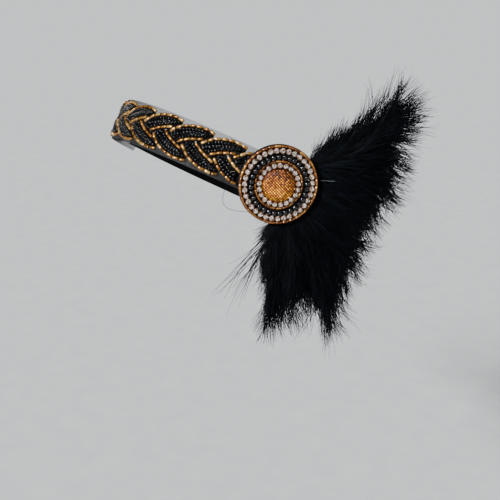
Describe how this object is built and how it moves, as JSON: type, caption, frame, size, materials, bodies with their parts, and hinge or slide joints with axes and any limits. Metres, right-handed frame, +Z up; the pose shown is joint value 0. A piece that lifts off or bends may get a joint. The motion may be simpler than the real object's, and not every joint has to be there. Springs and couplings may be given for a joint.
{
  "type": "flapper headband",
  "caption": "Flapper headband: a beaded plait on a net band with an elastic back, a round stone medallion at the temple and marabou plumes behind it.",
  "frame": {"origin": "middle of the worn loop, at half the height of the band", "axes": "+Z up as worn, the wearer looks along -Y, and the wearer's left, where the medallion is, is +X"},
  "size_m": [0.1881, 0.172, 0.1611],
  "materials": {
    "black_net": "fine knitted tulle",
    "black_elastic": "ribbed woven elastic",
    "black_felt": "pressed felt",
    "black_glass_beads": "opaque glossy glass",
    "gold_bugles": "gold lined glass tube",
    "clear_stones": "cut glass in brass cups",
    "gold_foil_cabochon": "bumpy moulded resin over foil",
    "black_marabou": "soft dyed down"
  },
  "bodies": {
    "root": {"net_band": "black_net", "back_elastic": "black_elastic", "leaf_upper_01": "black_glass_beads", "outer_edge_upper_01": "gold_bugles", "leaf_lower_01": "black_glass_beads", "outer_edge_lower_01": "gold_bugles", "inner_edge_lower_01": "gold_bugles", "leaf_upper_02": "black_glass_beads", "outer_edge_upper_02": "gold_bugles", "inner_edge_upper_02": "gold_bugles", "leaf_lower_02": "black_glass_beads", "outer_edge_lower_02": "gold_bugles", "inner_edge_lower_02": "gold_bugles", "leaf_upper_03": "black_glass_beads", "outer_edge_upper_03": "gold_bugles", "inner_edge_upper_03": "gold_bugles", "leaf_lower_03": "black_glass_beads", "outer_edge_lower_03": "gold_bugles", "inner_edge_lower_03": "gold_bugles", "leaf_upper_04": "black_glass_beads", "outer_edge_upper_04": "gold_bugles", "inner_edge_upper_04": "gold_bugles", "leaf_lower_04": "black_glass_beads", "outer_edge_lower_04": "gold_bugles", "inner_edge_lower_04": "gold_bugles", "leaf_upper_05": "black_glass_beads", "outer_edge_upper_05": "gold_bugles", "inner_edge_upper_05": "gold_bugles", "leaf_lower_05": "black_glass_beads", "outer_edge_lower_05": "gold_bugles", "inner_edge_lower_05": "gold_bugles", "leaf_upper_06": "black_glass_beads", "outer_edge_upper_06": "gold_bugles", "inner_edge_upper_06": "gold_bugles", "leaf_lower_06": "black_glass_beads", "outer_edge_lower_06": "gold_bugles", "inner_edge_lower_06": "gold_bugles", "leaf_upper_07": "black_glass_beads", "outer_edge_upper_07": "gold_bugles", "inner_edge_upper_07": "gold_bugles", "leaf_lower_07": "black_glass_beads", "outer_edge_lower_07": "gold_bugles", "inner_edge_lower_07": "gold_bugles", "leaf_upper_08": "black_glass_beads", "outer_edge_upper_08": "gold_bugles", "inner_edge_upper_08": "gold_bugles", "leaf_lower_08": "black_glass_beads", "outer_edge_lower_08": "gold_bugles", "inner_edge_lower_08": "gold_bugles", "medallion_felt": "black_felt", "outer_bugle_ring": "gold_bugles", "outer_stone_ring": "clear_stones", "black_bead_ring": "black_glass_beads", "inner_bugle_ring": "gold_bugles", "inner_stone_ring": "clear_stones", "centre_cabochon": "gold_foil_cabochon", "plume_upper": "black_marabou", "plume_lower": "black_marabou"}
  },
  "joints": []
}
